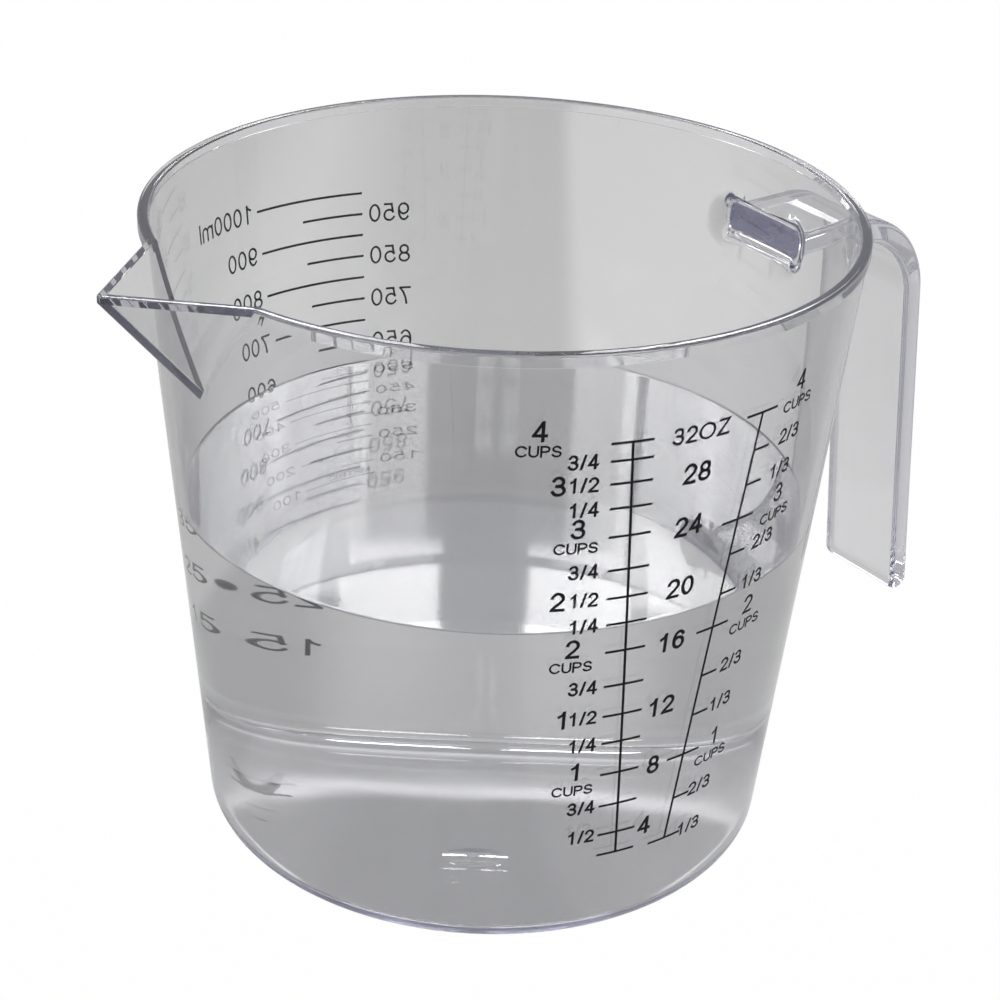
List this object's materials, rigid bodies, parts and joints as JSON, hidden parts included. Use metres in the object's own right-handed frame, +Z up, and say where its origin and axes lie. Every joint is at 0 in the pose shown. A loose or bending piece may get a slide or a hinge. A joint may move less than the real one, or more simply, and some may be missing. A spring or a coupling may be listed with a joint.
{
  "type": "measuring jug",
  "caption": "Clear moulded measuring jug with a leaning round wall, a V spout, an open strap handle on the opposite side, and printed cup and metric scales.",
  "frame": {"origin": "centre of the underside, on the surface that the jug stands on", "axes": "+Z up along the vessel's axis, +X towards the handle, -X towards the spout, -Y towards the cup scales"},
  "size_m": [0.1856, 0.1296, 0.121],
  "materials": {
    "clear_plastic": "clear, slightly grey polished styrene plastic",
    "black_ink": "screen-printed ink"
  },
  "bodies": {
    "root": {"base_dish": "clear_plastic", "side_wall": "clear_plastic", "rim_band": "clear_plastic", "pouring_spout": "clear_plastic", "handle_strap": "clear_plastic", "quarter_cup_ladder": "black_ink", "third_cup_ladder": "black_ink", "metric_tick_100": "black_ink", "metric_tick_150": "black_ink", "metric_tick_200": "black_ink", "metric_tick_250": "black_ink", "metric_tick_300": "black_ink", "metric_tick_350": "black_ink", "metric_tick_400": "black_ink", "metric_tick_450": "black_ink", "metric_tick_500": "black_ink", "metric_tick_550": "black_ink", "metric_tick_600": "black_ink", "metric_tick_650": "black_ink", "metric_tick_700": "black_ink", "metric_tick_750": "black_ink", "metric_tick_800": "black_ink", "metric_tick_850": "black_ink", "metric_tick_900": "black_ink", "metric_tick_950": "black_ink", "metric_tick_1000": "black_ink"}
  },
  "joints": []
}
